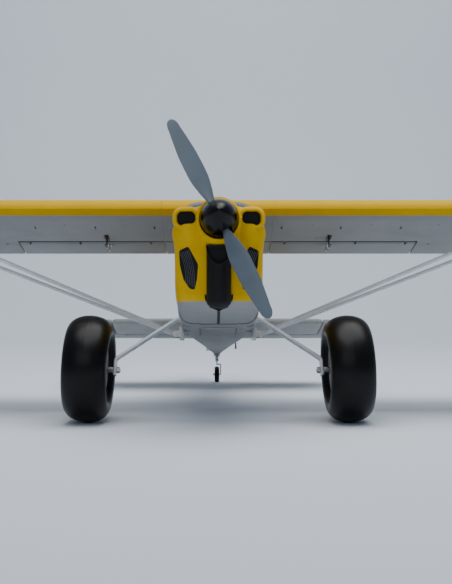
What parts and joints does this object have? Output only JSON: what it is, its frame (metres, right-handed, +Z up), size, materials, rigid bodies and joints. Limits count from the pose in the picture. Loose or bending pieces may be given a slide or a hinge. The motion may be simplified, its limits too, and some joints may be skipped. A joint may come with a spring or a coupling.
{
  "type": "radio controlled airplane",
  "caption": "Radio controlled foam bush plane with a strut-braced high wing, balloon-tyre tailwheel gear, nose-mounted propeller and working control surfaces.",
  "frame": {"origin": "on the ground under the middle of the plane, standing on its three wheels", "axes": "-Y is the way the nose points, +X is the pilot's left, +Z is up"},
  "size_m": [2.15, 1.3778, 0.5353],
  "materials": {
    "yellow_foam": "painted moulded foam, fine bead grain",
    "grey_foam": "painted moulded foam, fine bead grain",
    "yellow_plastic": "painted vacuum-formed plastic",
    "black_plastic": "moulded nylon",
    "plywood": "bare birch ply",
    "motor_black": "anodised",
    "motor_red": "anodised",
    "blue_shrink": "heat-shrink sleeve",
    "smoked_glazing": "smoked clear plastic",
    "carbon_tube": "rolled carbon",
    "white_strut": "painted aluminium",
    "steel": "plated",
    "gear_alloy": "rolled bar, satin",
    "spinner_black": "satin black",
    "grey_nylon": "moulded glass-filled nylon",
    "tyre_black": "satin rubber skin over foam",
    "grey_hub": "moulded nylon"
  },
  "bodies": {
    "airframe": {"fuselage_shell": "yellow_foam", "engine_cowl": "yellow_plastic", "chin_scoop": "black_plastic", "cowl_louvres": "black_plastic", "firewall": "plywood", "motor_mount": "black_plastic", "motor_stator": "motor_black", "speed_controller": "blue_shrink", "battery_pack": "blue_shrink", "receiver": "black_plastic", "wing_servos": "black_plastic", "tail_servos": "black_plastic", "windshield": "smoked_glazing", "side_windows": "smoked_glazing", "wing_left": "yellow_foam", "wing_right": "yellow_foam", "wing_tube": "carbon_tube", "strut_pair_left": "white_strut", "strut_pair_right": "white_strut", "strut_brackets": "steel", "gear_leg_left": "gear_alloy", "gear_leg_right": "gear_alloy", "axles": "steel", "float_sockets": "black_plastic", "horizontal_stabilizer": "grey_foam", "vertical_fin": "yellow_foam", "tail_bracket": "black_plastic", "screws": "steel"},
    "propeller_assembly": {"spinner_cone": "spinner_black", "spinner_backplate": "spinner_black", "propeller": "grey_nylon", "motor_shaft": "steel", "motor_bell": "motor_red"},
    "wheel_left": {"tyre_left": "tyre_black", "hub_left": "grey_hub"},
    "wheel_right": {"tyre_right": "tyre_black", "hub_right": "grey_hub"},
    "tail_wheel": {"tail_tyre": "tyre_black", "tail_hub": "grey_hub"},
    "rudder_body": {"rudder": "grey_foam", "tail_fork": "steel"},
    "elevator_body": {"elevator_halves": "grey_foam", "elevator_joiner": "steel"},
    "aileron_left_body": {"aileron_left": "grey_foam"},
    "aileron_right_body": {"aileron_right": "grey_foam"},
    "flap_left_body": {"flap_left": "grey_foam"},
    "flap_right_body": {"flap_right": "grey_foam"},
    "hatch_body": {"battery_hatch": "grey_foam"},
    "arm_flap_left_body": {"arm_flap_left": "black_plastic"},
    "rod_flap_left_body": {"rod_flap_left": "steel"},
    "arm_flap_right_body": {"arm_flap_right": "black_plastic"},
    "rod_flap_right_body": {"rod_flap_right": "steel"},
    "arm_aileron_left_body": {"arm_aileron_left": "black_plastic"},
    "rod_aileron_left_body": {"rod_aileron_left": "steel"},
    "arm_aileron_right_body": {"arm_aileron_right": "black_plastic"},
    "rod_aileron_right_body": {"rod_aileron_right": "steel"},
    "arm_elevator_body": {"arm_elevator": "black_plastic"},
    "rod_elevator_body": {"rod_elevator": "steel"},
    "arm_rudder_body": {"arm_rudder": "black_plastic"},
    "rod_rudder_body": {"rod_rudder": "steel"}
  },
  "joints": [
    {"name": "propeller_spin", "type": "hinge", "parent": "airframe", "child": "propeller_assembly", "pos_m": [0, -0.62971, 0.36468], "axis": [0, -0.9799, 0.1994], "continuous": true},
    {"name": "wheel_left_spin", "type": "hinge", "parent": "airframe", "child": "wheel_left", "pos_m": [0.238, -0.41459, 0.09792], "axis": [0.998, 0.0446, 0.0443], "continuous": true},
    {"name": "wheel_right_spin", "type": "hinge", "parent": "airframe", "child": "wheel_right", "pos_m": [-0.238, -0.41459, 0.09792], "axis": [-0.998, 0.0446, 0.0443], "continuous": true},
    {"name": "rudder_hinge", "type": "hinge", "parent": "airframe", "child": "rudder_body", "pos_m": [0, 0.53952, 0.12673], "axis": [0, 0.1994, 0.9799], "range_deg": [-30, 30]},
    {"name": "tail_wheel_spin", "type": "hinge", "parent": "rudder_body", "child": "tail_wheel", "pos_m": [0, 0.53495, 0.02], "axis": [1, 0, 0], "continuous": true},
    {"name": "elevator_hinge", "type": "hinge", "parent": "airframe", "child": "elevator_body", "pos_m": [0, 0.44283, 0.13008], "axis": [1, 0, 0], "range_deg": [-25, 25]},
    {"name": "aileron_left_hinge", "type": "hinge", "parent": "airframe", "child": "aileron_left_body", "pos_m": [0, -0.09823, 0.34766], "axis": [1, 0, 0], "range_deg": [-20, 20]},
    {"name": "aileron_right_hinge", "type": "hinge", "parent": "airframe", "child": "aileron_right_body", "pos_m": [0, -0.09823, 0.34766], "axis": [1, 0, 0], "range_deg": [-20, 20]},
    {"name": "flap_left_hinge", "type": "hinge", "parent": "airframe", "child": "flap_left_body", "pos_m": [0, -0.09823, 0.34766], "axis": [-1, 0, 0], "range_deg": [0, 40]},
    {"name": "flap_right_hinge", "type": "hinge", "parent": "airframe", "child": "flap_right_body", "pos_m": [0, -0.09823, 0.34766], "axis": [-1, 0, 0], "range_deg": [0, 40]},
    {"name": "hatch_hinge", "type": "hinge", "parent": "airframe", "child": "hatch_body", "pos_m": [0, -0.36316, 0.1701], "axis": [-1, 0, 0], "range_deg": [0, 75]},
    {"name": "arm_flap_left_turn", "type": "hinge", "parent": "airframe", "child": "arm_flap_left_body", "pos_m": [0.225, -0.15469, 0.35577], "axis": [-1, 0, 0], "range_deg": [0, 40]},
    {"name": "rod_flap_left_turn", "type": "hinge", "parent": "arm_flap_left_body", "child": "rod_flap_left_body", "pos_m": [0.225, -0.15948, 0.33226], "axis": [-1, 0, 0], "range_deg": [-40, 0]},
    {"name": "arm_flap_right_turn", "type": "hinge", "parent": "airframe", "child": "arm_flap_right_body", "pos_m": [-0.225, -0.15469, 0.35577], "axis": [-1, 0, 0], "range_deg": [0, 40]},
    {"name": "rod_flap_right_turn", "type": "hinge", "parent": "arm_flap_right_body", "child": "rod_flap_right_body", "pos_m": [-0.225, -0.15948, 0.33226], "axis": [-1, 0, 0], "range_deg": [-40, 0]},
    {"name": "arm_aileron_left_turn", "type": "hinge", "parent": "airframe", "child": "arm_aileron_left_body", "pos_m": [0.69, -0.15469, 0.35577], "axis": [1, 0, 0], "range_deg": [-20, 20]},
    {"name": "rod_aileron_left_turn", "type": "hinge", "parent": "arm_aileron_left_body", "child": "rod_aileron_left_body", "pos_m": [0.69, -0.15948, 0.33226], "axis": [1, 0, 0], "range_deg": [-20, 20]},
    {"name": "arm_aileron_right_turn", "type": "hinge", "parent": "airframe", "child": "arm_aileron_right_body", "pos_m": [-0.69, -0.15469, 0.35577], "axis": [1, 0, 0], "range_deg": [-20, 20]},
    {"name": "rod_aileron_right_turn", "type": "hinge", "parent": "arm_aileron_right_body", "child": "rod_aileron_right_body", "pos_m": [-0.69, -0.15948, 0.33226], "axis": [1, 0, 0], "range_deg": [-20, 20]},
    {"name": "arm_elevator_turn", "type": "hinge", "parent": "airframe", "child": "arm_elevator_body", "pos_m": [0.04358, 0.32593, 0.12122], "axis": [1, 0, 0], "range_deg": [-25, 25]},
    {"name": "rod_elevator_turn", "type": "hinge", "parent": "arm_elevator_body", "child": "rod_elevator_body", "pos_m": [0.04358, 0.32115, 0.0977], "axis": [1, 0, 0], "range_deg": [-25, 25]},
    {"name": "arm_rudder_turn", "type": "hinge", "parent": "airframe", "child": "arm_rudder_body", "pos_m": [-0.02004, 0.32653, 0.12416], "axis": [0, 0.1994, 0.9799], "range_deg": [-30, 30]},
    {"name": "rod_rudder_turn", "type": "hinge", "parent": "arm_rudder_body", "child": "rod_rudder_body", "pos_m": [-0.04404, 0.32653, 0.12416], "axis": [0, 0.1994, 0.9799], "range_deg": [-30, 30]}
  ],
  "couplings": [
    {"joint": "aileron_right_hinge", "follows": "aileron_left_hinge", "ratio": -1},
    {"joint": "flap_right_hinge", "follows": "flap_left_hinge", "ratio": 1},
    {"joint": "arm_flap_left_turn", "follows": "flap_left_hinge", "ratio": 1},
    {"joint": "rod_flap_left_turn", "follows": "flap_left_hinge", "ratio": -1},
    {"joint": "arm_flap_right_turn", "follows": "flap_left_hinge", "ratio": 1},
    {"joint": "rod_flap_right_turn", "follows": "flap_left_hinge", "ratio": -1},
    {"joint": "arm_aileron_left_turn", "follows": "aileron_left_hinge", "ratio": 1},
    {"joint": "rod_aileron_left_turn", "follows": "aileron_left_hinge", "ratio": -1},
    {"joint": "arm_aileron_right_turn", "follows": "aileron_left_hinge", "ratio": -1},
    {"joint": "rod_aileron_right_turn", "follows": "aileron_left_hinge", "ratio": 1},
    {"joint": "arm_elevator_turn", "follows": "elevator_hinge", "ratio": 1},
    {"joint": "rod_elevator_turn", "follows": "elevator_hinge", "ratio": -1},
    {"joint": "arm_rudder_turn", "follows": "rudder_hinge", "ratio": 1},
    {"joint": "rod_rudder_turn", "follows": "rudder_hinge", "ratio": -1}
  ]
}
